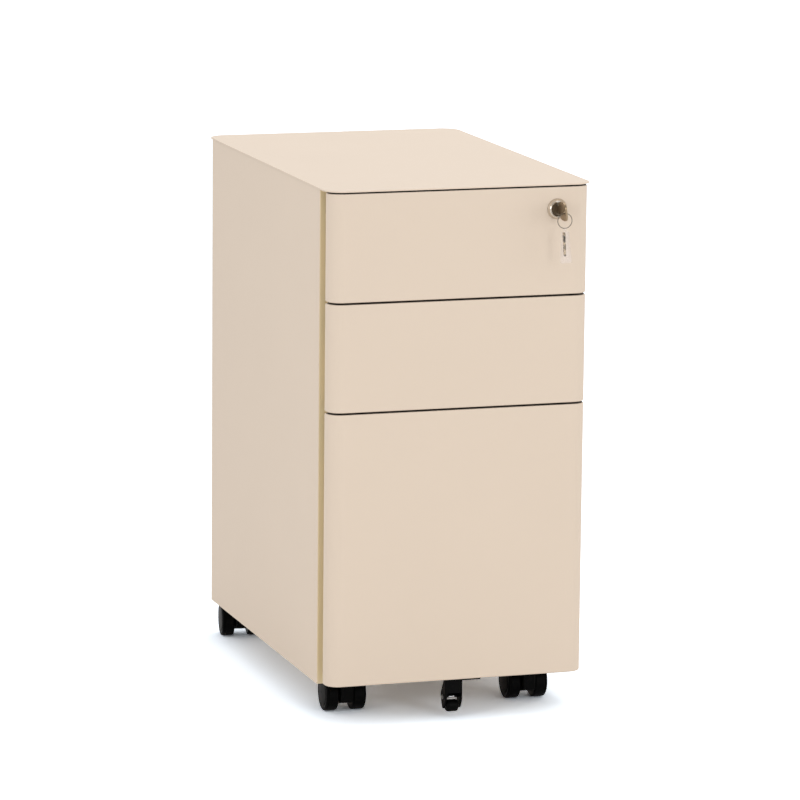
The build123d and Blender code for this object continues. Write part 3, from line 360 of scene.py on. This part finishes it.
def floor_material():
    """A pale floor that the camera sees as white, and that keeps the pedestal's shadow."""
    f = Finish("floor_paper")
    direct = f.node("LightPath", output="Is Camera Ray")
    mirrored = f.node("LightPath", output="Is Glossy Ray")
    through = f.node("LightPath", output="Is Transmission Ray")
    plain = f.node("BsdfDiffuse", {}, {"Color": (*FLOOR_PLAIN, 1)})
    shown = f.node("BsdfDiffuse", {}, {"Color": (*FLOOR_SHOWN, 1)})
    reflected = f.node("BsdfDiffuse", {}, {"Color": (*FLOOR_REFLECTED, 1)})
    seen_in_things = f.math("MAXIMUM", mirrored, through)
    indirect = f.node("MixShader", {}, {0: seen_in_things, 1: plain, 2: reflected})
    f.show(f.node("MixShader", {}, {0: direct, 1: indirect, 2: shown}))
    return f.material


def make_floor():
    mesh = bpy.data.meshes.new("floor")
    corners = [(x * FLOOR_HALF, y * FLOOR_HALF, 0) for x, y in ((-1, -1), (1, -1), (1, 1), (-1, 1))]
    mesh.from_pydata(corners, [], [(0, 1, 2, 3)])
    mesh.materials.append(floor_material())
    floor = bpy.data.objects.new("floor", mesh)
    bpy.context.scene.collection.objects.link(floor)


def softbox(name, place, target, size, power):
    """A square area lamp at a place, turned to a target."""
    lamp = bpy.data.lights.new(name, "AREA")
    lamp.size = size
    lamp.energy = power
    box = bpy.data.objects.new(name, lamp)
    box.location = place
    box.rotation_euler = (Vector(target) - Vector(place)).to_track_quat("-Z", "Y").to_euler()
    bpy.context.scene.collection.objects.link(box)


def set_world():
    """Even studio light, white behind the pedestal, in front of which shiny things show a darker room."""
    world = bpy.data.worlds.new("studio")
    bpy.context.scene.world = world
    world.use_nodes = True
    tree = world.node_tree
    tree.nodes.clear()

    def add(kind, sockets, **settings):
        made = tree.nodes.new("ShaderNode" + kind)
        for key, value in settings.items():
            setattr(made, key, value)
        for key, value in sockets.items():
            if isinstance(value, bpy.types.NodeSocket):
                tree.links.new(value, made.inputs[key])
            else:
                made.inputs[key].default_value = value
        return made.outputs

    path = add("LightPath", {})
    direction = add("SeparateXYZ", {0: add("TexCoord", {})["Generated"]})
    span = {"From Min": ROOM_FRONT, "From Max": ROOM_BACK, "To Min": ROOM_DARK, "To Max": 1.0}
    room = add("MapRange", {"Value": direction["Y"], **span})
    seen = add("Math", {0: path["Is Camera Ray"], 1: path["Is Transmission Ray"]}, operation="MAXIMUM")
    even = add("Background", {"Color": (*WHITE, 1), "Strength": WORLD_LIGHT})
    mirrored = add("Background", {"Color": (*WHITE, 1), "Strength": room[0]})
    backdrop = add("Background", {"Color": (*WHITE, 1), "Strength": 1.0})
    unseen = add("MixShader", {0: path["Is Glossy Ray"], 1: even[0], 2: mirrored[0]})
    add("OutputWorld", {"Surface": add("MixShader", {0: seen[0], 1: unseen[0], 2: backdrop[0]})[0]})


def set_camera():
    yaw = math.radians(CAMERA_YAW)
    pitch = math.radians(CAMERA_PITCH)
    roll = math.radians(CAMERA_ROLL)
    ahead = Vector((math.sin(yaw) * math.cos(pitch), math.cos(yaw) * math.cos(pitch), -math.sin(pitch)))
    level = Vector((math.cos(yaw), -math.sin(yaw), 0))
    upright = level.cross(ahead)
    right = level * math.cos(roll) + upright * math.sin(roll)
    up = upright * math.cos(roll) - level * math.sin(roll)
    data = bpy.data.cameras.new("camera")
    data.lens = FOCAL_LENGTH
    data.sensor_width = SENSOR_WIDTH
    data.clip_end = FARTHEST_SEEN
    camera = bpy.data.objects.new("camera", data)
    turn = Matrix((right, up, -ahead)).transposed().to_4x4()
    camera.matrix_world = Matrix.Translation(CAMERA_PLACE) @ turn
    bpy.context.scene.collection.objects.link(camera)
    bpy.context.scene.camera = camera


make_floor()
set_world()
for lamp in SOFTBOXES:
    softbox(*lamp)
set_camera()
bpy.context.scene.view_settings.view_transform = "Standard"
